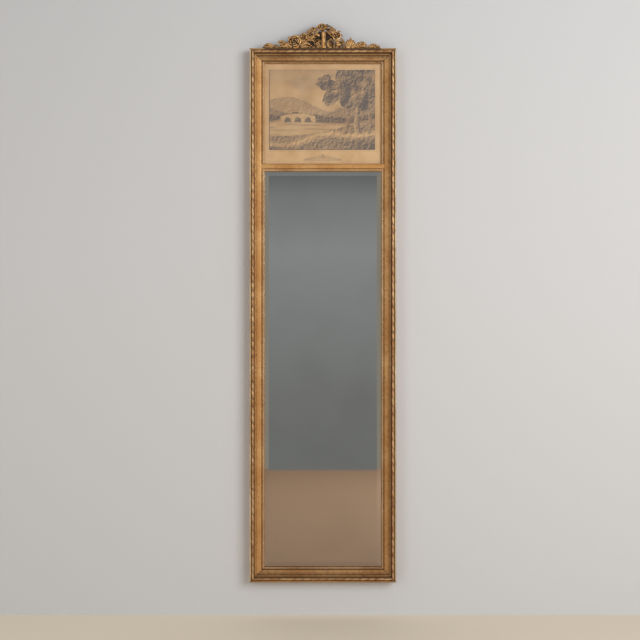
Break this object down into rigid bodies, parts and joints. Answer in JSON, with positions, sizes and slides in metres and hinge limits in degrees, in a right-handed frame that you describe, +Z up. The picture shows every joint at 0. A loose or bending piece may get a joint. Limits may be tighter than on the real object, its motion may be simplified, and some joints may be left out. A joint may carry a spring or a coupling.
{
  "type": "trumeau mirror",
  "caption": "Tall narrow gilded wall mirror with a framed print above a bevelled mirror plate, ribbon and pearl mouldings and a carved floral crest.",
  "frame": {"origin": "midway between the bearing points of the two hanging rings, on the plane of the wall", "axes": "+X to the viewer's right, +Y into the wall, +Z up; the front looks along -Y"},
  "size_m": [0.5, 0.0472, 1.9065],
  "materials": {
    "gilded_wood": "aged gilding",
    "gilded_ornament": "aged gilding",
    "gilded_carving": "aged gilding",
    "bare_wood": "bare, aged",
    "mirror_plate": "polished",
    "clear_glass": "polished",
    "print_paper": "matt, aged",
    "backing_card": "matt",
    "steel": "dull",
    "hanger_brass": "dull",
    "bumper_rubber": "matt"
  },
  "bodies": {
    "frame": {"left_stile": "gilded_wood", "right_stile": "gilded_wood", "top_rail": "gilded_wood", "bottom_rail": "gilded_wood", "middle_rail": "gilded_wood", "corner_keys": "bare_wood", "middle_rail_dowels": "bare_wood", "ribbon_left": "gilded_ornament", "ribbon_right": "gilded_ornament", "ribbon_top": "gilded_ornament", "ribbon_bottom": "gilded_ornament", "mirror_pearls_left": "gilded_ornament", "mirror_pearls_right": "gilded_ornament", "mirror_pearls_top": "gilded_ornament", "mirror_pearls_bottom": "gilded_ornament", "print_pearls_left": "gilded_ornament", "print_pearls_right": "gilded_ornament", "print_pearls_top": "gilded_ornament", "mirror_glass": "mirror_plate", "mirror_packing_blocks": "bare_wood", "mirror_back_board_upper": "bare_wood", "mirror_back_board_middle": "bare_wood", "mirror_back_board_lower": "bare_wood", "back_board_screws": "steel", "print_glass": "clear_glass", "print_sheet": "print_paper", "print_backing_card": "backing_card", "print_packing_blocks": "bare_wood", "upper_back_panel": "bare_wood", "left_hanger_strap": "hanger_brass", "right_hanger_strap": "hanger_brass", "hanger_screws": "steel", "upper_bumpers": "bumper_rubber", "lower_bumpers": "bumper_rubber", "bumper_tacks": "steel", "crest_board": "gilded_carving", "crest_torch": "gilded_carving", "crest_crown": "gilded_carving", "crest_left_volute": "gilded_carving", "crest_right_volute": "gilded_carving", "crest_shell_curl": "gilded_carving", "crest_rose": "gilded_carving", "crest_small_blossom": "gilded_carving", "crest_blossom": "gilded_carving", "crest_bud": "gilded_carving", "crest_petal": "gilded_carving", "crest_laurel_leaf": "gilded_carving", "crest_left_curled_leaf": "gilded_carving", "crest_left_end_leaf": "gilded_carving", "crest_garland_flower": "gilded_carving", "crest_ribbon_end": "gilded_carving", "crest_strand": "gilded_carving", "crest_leaf_cluster": "gilded_carving", "crest_right_curled_leaf": "gilded_carving", "crest_right_end_leaf": "gilded_carving", "crest_brackets": "steel", "crest_bracket_screws": "steel"},
    "ring_left": {"left_hanging_ring": "hanger_brass"},
    "ring_right": {"right_hanging_ring": "hanger_brass"}
  },
  "joints": [
    {"name": "left_ring_swing", "type": "hinge", "parent": "frame", "child": "ring_left", "pos_m": [-0.234, -0.00465, -0.02025], "axis": [-1, 0, 0], "range_deg": [0, 180]},
    {"name": "right_ring_swing", "type": "hinge", "parent": "frame", "child": "ring_right", "pos_m": [0.234, -0.00465, -0.02025], "axis": [-1, 0, 0], "range_deg": [0, 180]}
  ]
}
